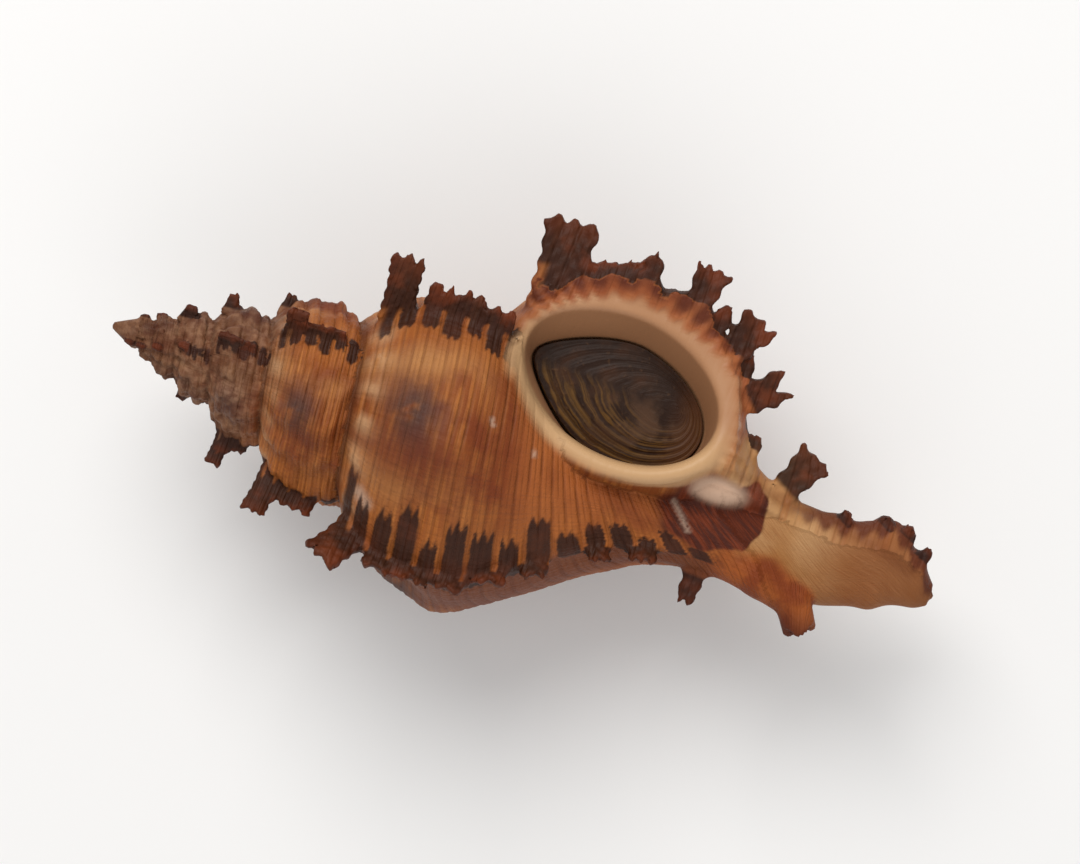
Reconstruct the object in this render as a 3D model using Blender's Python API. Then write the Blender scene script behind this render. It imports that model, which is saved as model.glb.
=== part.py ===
# A murex shell that lies on its back with the aperture up, and the operculum that closes it.
# Metres, +Z up. +X runs along the coiling axis, from the tip of the spire to the end of the canal.
# The sizes below are in millimetres from the tip of the spire, which lies on the coiling axis.

import math

import bpy
import bmesh
import numpy as np
from mathutils import Matrix, Vector

MM = 0.001

# Driving dimensions of the coil
LENGTH = 90.5
AXIS_HEIGHT = 19.9
CENTRE_X = 45.25
CENTRE_Y = 4.156
WHORL_EXPANSION = 1.56
LIP_ANGLE = 15.0
VARIX_STEP = 114.0
VARIX_COUNT = 18
PROFILE_SCALE = 1.0
SPIRE_FULLNESS = 0.45
SPIRE_FULLNESS_POWER = 6
TIP_ROUNDING = 1.6
TIP_END = 4.0
LEAN = 0.08

# One whorl along the axis, at the size it has at the lip: distance from the apex, radius
WHORL_PROFILE = (
    (33.5, 0.0), (35.5, 10.0), (36.8, 13.4), (38.0, 14.5), (41.8, 18.5), (44.1, 20.0), (47.3, 20.8),
    (51.5, 21.2), (55.7, 20.7), (58.8, 19.4), (63.0, 16.4), (68.3, 12.2), (73.5, 8.5), (78.8, 6.7),
    (84.0, 5.5), (89.3, 4.2), (94.5, 0.0),
)

# Front end of the body and the canal: distance from the apex, half width, half thickness
FRONT_OUTLINE = (
    (56.5, 22.5, 23.0), (58.0, 20.4, 21.5), (62.7, 16.7, 16.0), (64.9, 12.9, 10.7), (66.4, 10.2, 8.5),
    (68.5, 7.3, 6.2), (72.5, 4.9, 4.0), (79.3, 4.75, 3.0), (83.0, 4.6, 2.7), (84.9, 5.1, 2.6),
    (86.0, 3.9, 2.4), (87.2, 3.2, 2.2), (89.5, 2.1, 1.6), (90.5, 0.9, 0.6),
)
CANAL_START = 58.0
CANAL_HALF_WIDTH = 5.0
CANAL_HALF_THICKNESS = 3.4
CANAL_SHIFT = (
    (66.0, 0.0, 0.0), (72.5, 0.5, 0.0), (79.3, 0.2, -0.4), (83.0, 1.2, -0.8), (84.9, 1.8, -1.0),
    (87.2, 1.35, -1.3), (90.5, 0.2, -1.7),
)

# Ridges on the whorl: the varices, and one node between each two
VARIX_HEIGHT = 0.04
VARIX_SPREAD = 9.0
NODE_HEIGHT = 0.12
NODE_SPREAD = 17.0
NODE_PLACE = 51.5
NODE_LENGTH = 5.0
LAST_NODE = -26.0
# The knob on the back that the shell lies on: turn, place, height, spread, length
REST_KNOB = (-68.0, 47.0, 0.16, 20.0, 7.0)
# The whorl's shoulder is lower beside the lower varix: turn, place, depth, spread, length
SHOULDER_DIP = (-181.0, 46.2, 0.15, 16.0, 4.2)

# The face of the aperture is a plane, and its inner lip ends along this line: along the axis, across
FACE_DISTANCE = 8.0
FACE_ANGLE = 82.0
INNER_LIP = (
    (39.9, 13.7), (41.5, 8.9), (44.1, 5.0), (48.3, 1.8), (52.5, 0.9), (57.2, 1.7), (61.4, 3.2),
    (64.6, 5.8),
)
INNER_LIP_BLEND = 6.0

# The aperture narrows inwards: height, centre along, centre across, half length, half width
APERTURE = (
    (13.0, 52.4, 11.4, 11.6, 8.2), (6.6, 52.5, 11.1, 11.0, 7.6), (1.6, 52.6, 9.4, 10.2, 6.4),
    (-2.0, 52.4, 8.8, 9.2, 5.6), (-4.5, 52.2, 8.4, 6.6, 3.8),
)
APERTURE_TILT = -12.0
APERTURE_SIDES = 32

# The operculum fills the aperture between these heights
OPERCULUM_BOTTOM = 0.4
OPERCULUM_TOP = 1.5
OPERCULUM_DOME = 0.4
OPERCULUM_GAP = 0.35

# The narrow slit along the canal: along, across, height of its floor
SLIT_PATH = ((64.0, 6.5, 3.0), (71.4, 5.0, 1.6), (78.0, 4.2, 0.6), (83.0, 3.4, -0.1), (88.3, 1.7, -0.9))
SLIT_WIDTH = 0.7
SLIT_TOP = 9.0

# The old canal: along, across, height, radius. It stands as a spout beside the new one.
SPOUT_PATH = (
    (63.0, 0.6, -1.0, 3.0), (68.5, -2.2, 0.0, 2.6), (73.0, -3.1, 0.8, 2.7), (76.8, -4.8, 1.2, 1.9),
    (78.5, -7.6, 1.6, 1.75),
)
SPOUT_BORE = 1.0
SPOUT_BORE_DEPTH = 3.0
SPOUT_SIDES = 10

# Fronds of the lip: place along the whorl, length, width at the base, width at the tip, slant forward
LIP_FRONDS = (
    (40.9, 7.6, 5.2, 6.0, -0.12), (49.5, 3.3, 2.8, 1.8, -0.1), (54.7, 4.1, 3.4, 4.0, 0.05),
    (59.8, 4.0, 3.2, 4.6, 0.45), (63.4, 3.0, 3.2, 4.2, 1.25), (71.0, 4.9, 3.0, 4.0, 0.5),
)
LIP_TEETH = (44.6, 46.3, 48.0, 57.6, 62.0)

# Fronds of the older varices, at the size they would have at the lip
VARIX_FRONDS = (
    (42.1, 8.0, 5.6, 5.4, -0.1), (46.6, 3.4, 4.4, 4.0, -0.1), (51.6, 3.4, 4.4, 4.0, 0.0),
    (56.2, 3.2, 4.0, 3.4, 0.1), (60.8, 3.2, 3.8, 3.2, 0.3), (65.8, 3.0, 3.6, 3.0, 0.4),
    (73.0, 3.2, 3.2, 3.0, 0.4), (78.6, 2.4, 3.6, 3.2, 0.3),
)
# How far the shoulder frond of a varix stands from its usual place, and its slant, from the lip back
FROND_SHIFT = (0.0, 0.0, -0.4, -1.2, 0.0, 0.6, 0.0, 0.0, 3.0, 0.0)
SHOULDER_SLANT = (-0.1, -0.1, -0.5, -0.15, -0.1, -0.1, -0.1, -0.1, -0.1, -0.1)
# Share of the fronds' length that wear has left, from the lip back
FROND_WEAR = (1.0, 0.68, 0.86, 1.26, 0.8, 1.14, 0.8, 0.8, 1.2, 0.7)
SPIRE_WEAR = 0.5
HIDDEN_BEYOND = 53.0
# Blunt spines between the varices of the spire: turn, place, length, width at the base and tip, slant
SPIRE_SPINES = (
    (-726.0, 41.0, 5.0, 5.6, 2.6, -0.1), (-1068.0, 42.4, 7.0, 8.0, 3.6, -0.1),
    (-1410.0, 43.0, 9.0, 16.0, 6.0, -0.1),
)
# One frond stands low beside the old canal: turn, place, length, width at the base and tip, slant
LOW_FROND = (-175.0, 82.5, 4.8, 3.6, 2.8, 0.0)
SPIRE_FROND_LIMIT = 42.0
FROND_ROOT = 2.2
FROND_THICKNESS = 1.3
# Rings of a frond: share of its length, share of its width, share of its thickness
FROND_RINGS = ((0.0, 1.0, 1.0), (0.45, 0.9, 1.0), (0.8, 1.0, 0.75), (1.0, 0.82, 0.5))
FROND_CURL = 6.0
FROND_CHANNEL = 0.14
TOOTH_HEIGHT = 1.7
TOOTH_WIDTH = 2.3

# Rows and columns of the body
COLUMNS = 42
SPIRE_ROW_RATIO = 1.085
SPIRE_START = 1.2
SPIRE_END = 36.0
BODY_STEP = 1.9
BODY_END = 66.0
CANAL_STEP = 2.6
CANAL_END = 90.0

FLOOR_MARGIN = 10.0
CUTTER_SIZE = 200.0


def clear_scene():
    for item in list(bpy.data.objects):
        bpy.data.objects.remove(item, do_unlink=True)


def material(name, colour, roughness):
    made = bpy.data.materials.new(name)
    made.use_nodes = True
    shader = made.node_tree.nodes["Principled BSDF"]
    shader.inputs["Base Color"].default_value = (*colour, 1.0)
    shader.inputs["Roughness"].default_value = roughness
    shader.inputs["Metallic"].default_value = 0.0
    return made


def place(along, across, height):
    return Vector(((along - CENTRE_X) * MM, (across - CENTRE_Y) * MM, (height + AXIS_HEIGHT) * MM))


def table(rows, column, at):
    return float(np.interp(at, [row[0] for row in rows], [row[column] for row in rows]))


def smooth_step(value):
    value = min(max(value, 0.0), 1.0)
    return value * value * (3.0 - 2.0 * value)


def bell(distance, spread):
    return math.exp(-((distance / spread) ** 2))


def growth(turn):
    return WHORL_EXPANSION ** (turn / 360.0)


def varix_turn(index):
    return LIP_ANGLE - VARIX_STEP * index


def node_turns():
    older = [varix_turn(index) - VARIX_STEP / 2.0 for index in range(1, VARIX_COUNT)]
    return [LAST_NODE] + older


NODE_TURNS = node_turns()
VARIX_TURNS = [varix_turn(index) for index in range(VARIX_COUNT)]


# A rounded lump on a whorl
def lump(values, turn, own_place):
    at_turn, at_place, height, spread, length = values
    return height * bell(turn - at_turn, spread) * bell(own_place - at_place, length)


# Radius of one whorl, with its varices and nodes, at a distance along the axis
def whorl_radius(along, turn):
    size = growth(turn)
    own_place = along / size
    radius = size * PROFILE_SCALE * table(WHORL_PROFILE, 1, own_place)
    varix = max(bell(turn - varix, VARIX_SPREAD) for varix in VARIX_TURNS)
    node = max(bell(turn - node, NODE_SPREAD) for node in NODE_TURNS)
    ridges = VARIX_HEIGHT * varix + NODE_HEIGHT * node * bell(own_place - NODE_PLACE, NODE_LENGTH)
    ridges += lump(REST_KNOB, turn, own_place) - lump(SHOULDER_DIP, turn, own_place)
    fullness = SPIRE_FULLNESS * max(1.0 - size, 0.0) ** SPIRE_FULLNESS_POWER
    return radius * (1.0 + fullness + ridges)


# The same direction from the axis, as an angle of the last turn before the lip
def seen_angle(turn):
    turn = turn % 360.0
    return turn - 360.0 if turn > 180.0 + LIP_ANGLE else turn


def ellipse_radius(half_width, half_thickness, angle):
    return 1.0 / math.hypot(math.cos(angle) / half_width, math.sin(angle) / half_thickness)


# Angle at which the inner lip ends, seen from the axis
def inner_lip_angle(along):
    across = table(INNER_LIP, 1, along)
    face = math.radians(FACE_ANGLE)
    height = (FACE_DISTANCE - across * math.cos(face)) / math.sin(face)
    return math.degrees(math.atan2(height, across))


# Radius of the whole body at an angle from the lip side: the outermost whorl there, the flat face
# of the aperture, and the canal
def body_radius(along, degrees):
    angle = math.radians(degrees)
    last_turn = degrees if degrees <= LIP_ANGLE else degrees - 360.0
    radius = math.sqrt(TIP_ROUNDING * along) if along < TIP_END else 0.0
    for whorl in range(VARIX_COUNT // 3):
        radius = max(radius, whorl_radius(along, last_turn - 360.0 * whorl))
    if LIP_ANGLE < degrees < 2.0 * FACE_ANGLE:
        face = FACE_DISTANCE / max(math.cos(angle - math.radians(FACE_ANGLE)), 0.05)
        lip = min(whorl_radius(along, degrees), face)
        share = smooth_step((inner_lip_angle(along) - degrees) / INNER_LIP_BLEND + 0.5)
        radius = max(radius, radius + (lip - radius) * share)
    if along > CANAL_START:
        radius = max(radius, ellipse_radius(CANAL_HALF_WIDTH, CANAL_HALF_THICKNESS, angle))
        half_width = table(FRONT_OUTLINE, 1, along)
        half_thickness = table(FRONT_OUTLINE, 2, along)
        radius = min(radius, ellipse_radius(half_width, half_thickness, angle))
    return radius


def lean_at(along):
    return LEAN * smooth_step((along - 10.0) / 16.0) * smooth_step((72.0 - along) / 10.0)


def body_point(along, degrees, radius):
    angle = math.radians(degrees)
    across = radius * math.cos(angle) + table(CANAL_SHIFT, 1, along)
    height = radius * math.sin(angle) + table(CANAL_SHIFT, 2, along)
    return place(along + lean_at(along) * across, across, height)


def body_rows():
    rows = [SPIRE_START]
    while rows[-1] < SPIRE_END:
        rows.append(rows[-1] * SPIRE_ROW_RATIO + 0.12)
    while rows[-1] < BODY_END:
        rows.append(rows[-1] + BODY_STEP)
    while rows[-1] + CANAL_STEP < CANAL_END:
        rows.append(rows[-1] + CANAL_STEP)
    rows.append(CANAL_END)
    return rows


# Closed solid through rings of the same number of points
def loft(name, rings, first_tip=None, last_tip=None):
    mesh = bmesh.new()
    loops = [[mesh.verts.new(point) for point in ring] for ring in rings]
    for lower, upper in zip(loops, loops[1:]):
        for index in range(len(lower)):
            following = (index + 1) % len(lower)
            mesh.faces.new((lower[index], lower[following], upper[following], upper[index]))
    for loop, tip in ((loops[0], first_tip), (loops[-1], last_tip)):
        if tip is None:
            mesh.faces.new(loop)
            continue
        point = mesh.verts.new(tip)
        for index in range(len(loop)):
            mesh.faces.new((loop[index], loop[(index + 1) % len(loop)], point))
    bmesh.ops.triangulate(mesh, faces=mesh.faces[:])
    bmesh.ops.recalc_face_normals(mesh, faces=mesh.faces[:])
    data = bpy.data.meshes.new(name)
    mesh.to_mesh(data)
    mesh.free()
    made = bpy.data.objects.new(name, data)
    bpy.context.scene.collection.objects.link(made)
    return made


def as_helper(made):
    made.hide_render = True
    made.display_type = "WIRE"
    return made


def body():
    rings = []
    for along in body_rows():
        ring = []
        for column in range(COLUMNS):
            degrees = seen_angle(360.0 * column / COLUMNS)
            ring.append(body_point(along, degrees, body_radius(along, degrees)))
        rings.append(ring)
    tip = body_point(0.0, 0.0, 0.0)
    end = body_point(LENGTH, 0.0, 0.0)
    return loft("shell", rings, tip, end)


# A frond is a curved plate with a channel on its front, rooted in the varix
def frond(name, turn, own_place, length, base_width, tip_width, slant, wear):
    size = growth(turn)
    along = own_place * size
    surface = body_radius(along, seen_angle(turn))
    steepness = math.hypot(1.0, slant)
    root = FROND_ROOT * size
    reach = length * size * wear
    thickness = FROND_THICKNESS * size
    rings = []
    for share, width_share, thickness_share in FROND_RINGS:
        out = surface - root + (root + reach) * share
        width = (base_width + (tip_width - base_width) * share) * size * width_share
        bend = turn - FROND_CURL * share * share
        radial = Vector((0.0, math.cos(math.radians(bend)), math.sin(math.radians(bend))))
        forward = Vector((0.0, -radial.z, radial.y))
        side = (Vector((1.0, 0.0, 0.0)) - radial * slant) / steepness
        centre_along = along + slant * reach * share
        shift = Vector((0.0, table(CANAL_SHIFT, 1, along), table(CANAL_SHIFT, 2, along)))
        centre = Vector((centre_along, 0.0, 0.0)) + radial * out + shift
        dip = FROND_CHANNEL * width
        half = thickness * thickness_share / 2.0
        section = (
            (-0.5, 0.35 * half), (-0.3, half - dip), (0.3, half - dip), (0.5, 0.35 * half),
            (0.3, -half - dip), (-0.3, -half - dip),
        )
        ring = []
        for sideways, ahead in section:
            point = centre + side * (sideways * width) + forward * ahead
            ring.append(place(point.x + lean_at(along) * point.y, point.y, point.z))
        rings.append(ring)
    return as_helper(loft(name, rings))


# A tooth is a small pyramid between two fronds of the lip
def tooth(name, turn, own_place):
    along = own_place * growth(turn)
    surface = body_radius(along, seen_angle(turn))
    radial = Vector((0.0, math.cos(math.radians(turn - 4.0)), math.sin(math.radians(turn - 4.0))))
    forward = Vector((0.0, -radial.z, radial.y))
    base = Vector((along, 0.0, 0.0)) + radial * (surface - 1.0)
    base += Vector((0.0, table(CANAL_SHIFT, 1, along), table(CANAL_SHIFT, 2, along)))
    half = TOOTH_WIDTH / 2.0
    corners = []
    for sideways, ahead in ((-half, -half), (half, -half), (half, half), (-half, half)):
        point = base + Vector((sideways, 0.0, 0.0)) + forward * ahead
        corners.append(place(point.x + lean_at(along) * point.y, point.y, point.z))
    point = base + radial * (1.0 + TOOTH_HEIGHT)
    tip = place(point.x + lean_at(along) * point.y, point.y, point.z)
    return as_helper(loft(name, [corners], None, tip))


def frond_solids():
    made = []
    for index, values in enumerate(LIP_FRONDS):
        made.append(frond(f"lip_frond_{index}", LIP_ANGLE - 2.0, *values, 1.0))
    for index, own_place in enumerate(LIP_TEETH):
        made.append(tooth(f"lip_tooth_{index}", LIP_ANGLE - 3.0, own_place))
    made.append(frond("low_frond", *LOW_FROND, 1.0))
    for index, values in enumerate(SPIRE_SPINES):
        made.append(frond(f"spire_spine_{index}", *values, 1.0))
    for varix in range(1, VARIX_COUNT):
        turn = varix_turn(varix)
        for index, values in enumerate(VARIX_FRONDS):
            own_place = values[0]
            slant = values[4]
            if index == 0 and varix < len(FROND_SHIFT):
                own_place += FROND_SHIFT[varix]
                slant = SHOULDER_SLANT[varix]
            last_whorl = turn > LIP_ANGLE - 360.0
            if not last_whorl and own_place > HIDDEN_BEYOND:
                continue
            if varix >= len(FROND_WEAR) and own_place > SPIRE_FROND_LIMIT:
                continue
            wear = FROND_WEAR[varix] if varix < len(FROND_WEAR) else SPIRE_WEAR
            made.append(frond(f"frond_{varix}_{index}", turn, own_place, *values[1:4], slant, wear))
    return made


def spout():
    rings = []
    points = [Vector(row[:3]) for row in SPOUT_PATH]
    for index, row in enumerate(SPOUT_PATH):
        before = points[max(index - 1, 0)]
        after = points[min(index + 1, len(points) - 1)]
        rings.append(ring_around(points[index], after - before, row[3], SPOUT_SIDES))
    return as_helper(loft("spout", rings))


def ring_around(centre, direction, radius, sides):
    turn = direction.to_track_quat("Z", "Y").to_matrix()
    ring = []
    for index in range(sides):
        angle = 2.0 * math.pi * index / sides
        point = centre + turn @ Vector((radius * math.cos(angle), radius * math.sin(angle), 0.0))
        ring.append(place(*point))
    return ring


def spout_bore():
    tip = Vector(SPOUT_PATH[-1][:3])
    before = Vector(SPOUT_PATH[-2][:3])
    direction = (tip - before).normalized()
    start = tip - direction * SPOUT_BORE_DEPTH
    end = tip + direction * 1.0
    rings = [ring_around(start, direction, SPOUT_BORE * 0.5, SPOUT_SIDES)]
    rings.append(ring_around(end, direction, SPOUT_BORE * 1.3, SPOUT_SIDES))
    return as_helper(loft("spout_bore", rings))


def aperture_ring(height, inset):
    rows = APERTURE[::-1]
    centre_along = table(rows, 1, height)
    centre_across = table(rows, 2, height)
    half_length = table(rows, 3, height)
    half_width = table(rows, 4, height)
    tilt = math.radians(APERTURE_TILT)
    ring = []
    for index in range(APERTURE_SIDES):
        angle = 2.0 * math.pi * index / APERTURE_SIDES
        lengthwise = (half_length - inset) * math.cos(angle)
        crosswise = (half_width - inset) * math.sin(angle)
        along = centre_along + lengthwise * math.cos(tilt) - crosswise * math.sin(tilt)
        across = centre_across + lengthwise * math.sin(tilt) + crosswise * math.cos(tilt)
        ring.append((along, across))
    return ring


def aperture_cutter():
    rings = []
    for row in APERTURE:
        rings.append([place(along, across, row[0]) for along, across in aperture_ring(row[0], 0.0)])
    return as_helper(loft("aperture", rings))


def operculum():
    low = [place(x, y, OPERCULUM_BOTTOM) for x, y in aperture_ring(OPERCULUM_BOTTOM, OPERCULUM_GAP)]
    high = [place(x, y, OPERCULUM_TOP) for x, y in aperture_ring(OPERCULUM_TOP, OPERCULUM_GAP)]
    inner = aperture_ring(OPERCULUM_TOP, 2.2)
    dome = [place(x, y, OPERCULUM_TOP + OPERCULUM_DOME * 0.7) for x, y in inner]
    centre = place(
        table(APERTURE[::-1], 1, OPERCULUM_TOP), table(APERTURE[::-1], 2, OPERCULUM_TOP),
        OPERCULUM_TOP + OPERCULUM_DOME,
    )
    return loft("operculum", [low, high, dome], None, centre)


def slit_cutter():
    rings = []
    half = SLIT_WIDTH / 2.0
    for along, across, floor in SLIT_PATH:
        left = across - half
        right = across + half
        corners = ((left, floor), (right, floor), (right, SLIT_TOP), (left, SLIT_TOP))
        rings.append([place(along, y, z) for y, z in corners])
    return as_helper(loft("slit", rings))


def floor_cutter():
    mesh = bmesh.new()
    bmesh.ops.create_cube(mesh, size=1.0)
    size = CUTTER_SIZE * MM
    scale = Matrix.Diagonal((size, size, FLOOR_MARGIN * MM, 1.0))
    bmesh.ops.transform(mesh, matrix=scale, verts=mesh.verts[:])
    data = bpy.data.meshes.new("floor_plane")
    mesh.to_mesh(data)
    mesh.free()
    made = bpy.data.objects.new("floor_plane", data)
    made.location = (0.0, 0.0, -FLOOR_MARGIN * MM / 2.0)
    bpy.context.scene.collection.objects.link(made)
    return as_helper(made)


def combine(target, operation, helpers, name):
    group = bpy.data.collections.new(name)
    bpy.context.scene.collection.children.link(group)
    for helper in helpers:
        bpy.context.scene.collection.objects.unlink(helper)
        group.objects.link(helper)
    modifier = target.modifiers.new(name, "BOOLEAN")
    modifier.operation = operation
    modifier.solver = "EXACT"
    modifier.operand_type = "COLLECTION"
    modifier.collection = group


def main():
    clear_scene()
    shell = body()
    shell.data.materials.append(material("shell_lime", (0.42, 0.20, 0.08), 0.5))
    combine(shell, "UNION", frond_solids() + [spout()], "growths")
    combine(shell, "DIFFERENCE", [aperture_cutter(), slit_cutter(), spout_bore(), floor_cutter()], "cuts")
    shell.data.shade_smooth()
    plate = operculum()
    plate.data.materials.append(material("horn_plate", (0.05, 0.025, 0.012), 0.45))
    plate.data.shade_smooth()


main()
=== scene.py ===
import math

import bpy
import numpy as np
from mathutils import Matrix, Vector


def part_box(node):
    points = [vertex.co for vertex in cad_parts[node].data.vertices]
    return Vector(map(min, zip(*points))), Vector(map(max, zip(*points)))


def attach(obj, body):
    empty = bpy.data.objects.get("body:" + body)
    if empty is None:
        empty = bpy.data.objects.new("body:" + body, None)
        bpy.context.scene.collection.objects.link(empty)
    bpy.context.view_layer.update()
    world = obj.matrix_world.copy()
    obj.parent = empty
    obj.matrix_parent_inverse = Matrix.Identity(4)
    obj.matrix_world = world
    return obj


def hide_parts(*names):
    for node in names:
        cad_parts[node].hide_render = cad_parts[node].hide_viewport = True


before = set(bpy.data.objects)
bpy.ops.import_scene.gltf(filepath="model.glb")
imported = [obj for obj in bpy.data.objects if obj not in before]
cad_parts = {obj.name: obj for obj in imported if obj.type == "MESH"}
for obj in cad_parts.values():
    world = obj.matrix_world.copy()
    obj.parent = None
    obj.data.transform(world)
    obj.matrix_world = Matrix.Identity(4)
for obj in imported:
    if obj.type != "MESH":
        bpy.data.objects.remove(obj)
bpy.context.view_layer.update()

# All sizes are in millimetres. "Along" is the distance from the tip of the spire on the coiling
# axis, "across" points to the lip, and "height" is measured from the axis towards the viewer. Points
# have the same three as x, y and z, before the coil's lean is taken off.
MM = 0.001

# Driving dimensions of the coil
LENGTH = 90.5
WHORL_EXPANSION = 1.56
LIP_ANGLE = 15.0
VARIX_STEP = 114.0
VARIX_COUNT = 22
WHORLS = 7
SPIRE_FULLNESS = 0.4
SPIRE_FULLNESS_POWER = 6
TIP_RADIUS = 0.35
TIP_SLOPE = 0.5
TIP_END = 2.8
LEAN = 0.08

# The operculum's middle, across, and its top, from the coiling axis: they place the axis in the frame
PLATE_ACROSS = 9.3833
PLATE_TOP = 1.9

# One whorl along the axis, at the size it has at the lip: distance from the apex, radius
WHORL_PROFILE = (
    (33.5, 0.0), (35.5, 10.0), (36.8, 13.4), (38.0, 14.5), (41.8, 18.5), (44.1, 20.0), (47.3, 20.8),
    (51.5, 21.2), (55.7, 20.7), (58.8, 19.4), (63.0, 16.4), (68.3, 12.2), (73.5, 8.5), (78.8, 6.7),
    (84.0, 5.5), (89.3, 4.2), (94.5, 0.0),
)

# Front end of the body and the canal: distance from the apex, half width, half thickness
FRONT_OUTLINE = (
    (56.5, 22.5, 23.0), (58.0, 20.4, 21.5), (62.7, 16.7, 16.0), (64.9, 12.9, 10.7), (66.4, 10.2, 8.5),
    (68.5, 7.3, 6.2), (72.5, 4.9, 4.0), (79.3, 4.75, 3.0), (83.0, 4.6, 2.7), (84.9, 5.1, 2.6),
    (86.0, 3.9, 2.4), (87.2, 3.2, 2.2), (89.5, 2.1, 1.6), (90.5, 0.9, 0.6),
)
CANAL_START = 58.0
CANAL_HALF_WIDTH = 5.0
CANAL_HALF_THICKNESS = 3.4
CANAL_SHIFT = (
    (66.0, 0.0, 0.0), (72.5, 0.5, 0.0), (79.3, 0.2, -0.4), (83.0, 1.2, -0.8), (84.9, 1.8, -1.0),
    (87.2, 1.35, -1.3), (90.5, 0.2, -1.7),
)
CURVE_ROUNDING = 1.4

# Relief of the whorl
VARIX_HEIGHT = 0.045
VARIX_RISE = 14.0
VARIX_FALL = 6.0
NODE_HEIGHT = 0.12
NODE_SPREAD = 17.0
NODE_PLACE = 51.5
NODE_LENGTH = 5.0
LAST_NODE = -26.0
# The knob on the back that the shell lies on: turn, place, height, spread, length
REST_KNOB = (-68.0, 47.0, 0.16, 20.0, 7.0)
# The whorl's shoulder is lower beside the lower varix: turn, place, depth, spread, length
SHOULDER_DIP = (-181.0, 46.2, 0.15, 16.0, 4.2)
CORD_PITCH = 1.7
# Cords are twice as far apart, for the size of the whorl, before each of these turns
CORD_CHANGES = (-669.0, -1011.0)
SUTURE_PLACE = 36.9
SUTURE_DEPTH = 0.9
SUTURE_WIDTH = 1.3
CORD_DEPTH = 0.2
CORD_GROOVE = 0.28
THREAD_DEPTH = 0.07
SCALE_PITCH = 2.0 * CORD_PITCH
SCALE_HEIGHT = 0.55
SCALE_LOW = 0.35
SCALE_SHIFT = 3.0
SCALE_SPREAD = 9.0
# Where the cords fade in and out on a whorl, and the scales out: place, length
CORDS_IN = (36.5, 3.0)
CORDS_OUT = (82.0, 6.0)
SCALES_OUT = (74.0, 6.0)
WOBBLE = 0.2
# Lumps along the suture, the node after each varix, and the riblets and knobs of the spire
SUTURE_LUMP = 0.45
SUTURE_LUMP_STEP = 19.0
SUTURE_LUMP_DRIFT = 23.0
SUTURE_LUMP_PLACE = 39.6
SUTURE_LUMP_LENGTH = 1.8
SEEN_NODE = (52.0, 44.5, 0.06, 13.0, 4.2)
RIBLET_HEIGHT = 0.26
RIBLET_STEP = 22.0
RIBLET_DRIFT = 31.0
RIBLET_PLACE = 42.5
RIBLET_LENGTH = 5.0
RIBLET_START = 0.62
RIBLET_BLEND = 0.15
SPIRE_CORD_SHARE = 1.3
KNOB_HEIGHT = 0.3

# The face of the aperture is a plane, and its inner lip ends along this line: along the axis, across
FACE_DISTANCE = 8.0
FACE_ANGLE = 82.0
INNER_LIP = (
    (39.9, 13.7), (41.5, 8.9), (44.1, 5.0), (48.3, 1.8), (52.5, 0.9), (57.2, 1.7), (61.4, 3.2),
    (64.6, 5.8),
)
INNER_LIP_BLEND = 6.0

# The aperture narrows inwards: height, centre along, centre across, half length, half width
APERTURE = (
    (-4.5, 52.2, 8.4, 6.6, 3.8), (-2.0, 52.4, 8.8, 9.2, 5.6), (1.6, 52.6, 9.4, 10.2, 6.4),
    (6.6, 52.5, 11.1, 11.0, 7.6), (13.0, 52.4, 11.4, 11.6, 8.2),
)
MOUTH_ROW = 3
APERTURE_TILT = -12.0
APERTURE_FLOOR = -4.5
APERTURE_ROUNDING = 0.9
# How much narrower the aperture is at its spire end, and below which height
LEAF = 0.42
LEAF_TOP = 7.5

# Flutes of the outer lip, the rounded inner lip, the white callus and the slit of the canal
FLUTE_COUNT = 34.0
FLUTE_DRIFT = 2.0
FLUTE_DEPTH = 0.45
LIP_BAND_OFFSET = 0.9
LIP_BAND_RADIUS = 1.1
LIP_BAND_SINK = 0.4
CALLUS_CENTRE = (65.3, 3.8, 3.3)
CALLUS_RADII = (3.5, 1.8, 2.2)
CALLUS_MARK_RADII = (3.4, 1.6, 4.0)
SLIT_PATH = ((64.0, 6.5, 3.0), (71.4, 5.0, 1.6), (78.0, 4.2, 0.6), (83.0, 3.4, -0.1), (88.3, 1.7, -0.9))
SLIT_HALF_WIDTH = 0.7
SLIT_DEPTH = 0.3

# The old canal: along, across, height, radius. It stands as a spout beside the new one.
SPOUT_PATH = (
    (63.0, 0.6, -1.0, 3.0), (68.5, -2.2, 0.0, 2.6), (73.0, -3.1, 0.8, 2.7), (76.8, -4.8, 1.2, 1.9),
    (78.5, -7.6, 1.6, 1.75),
)
SPOUT_BORE = 1.0
SPOUT_BORE_DEPTH = 3.0

# Fronds of the lip: place along the whorl, length, width at the base, width at the tip, slant
# forward, lobes at the tip, depth of the notches between them
LIP_FRONDS = (
    (40.9, 7.8, 5.2, 6.2, -0.14, 3, 0.08), (49.4, 3.2, 2.6, 1.6, -0.1, 1, 0.2),
    (54.9, 4.0, 3.0, 4.2, 0.05, 4, 0.08), (59.9, 4.3, 2.9, 4.8, 0.45, 3, 0.12),
    (63.3, 3.1, 3.0, 4.4, 1.2, 2, 0.3), (70.9, 4.8, 2.9, 4.4, 0.5, 3, 0.08),
)
LIP_TEETH = (43.9, 45.2, 46.6, 47.9, 57.6, 61.9, 66.2)
TOOTH = (2.1, 2.2, 1.5, 0.2, 1, 0.3)
CANAL_TEETH = (77.5, 81.8, 84.4, 86.6)
CANAL_TOOTH = (1.3, 2.0, 1.1, 0.5, 1, 0.3)

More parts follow.
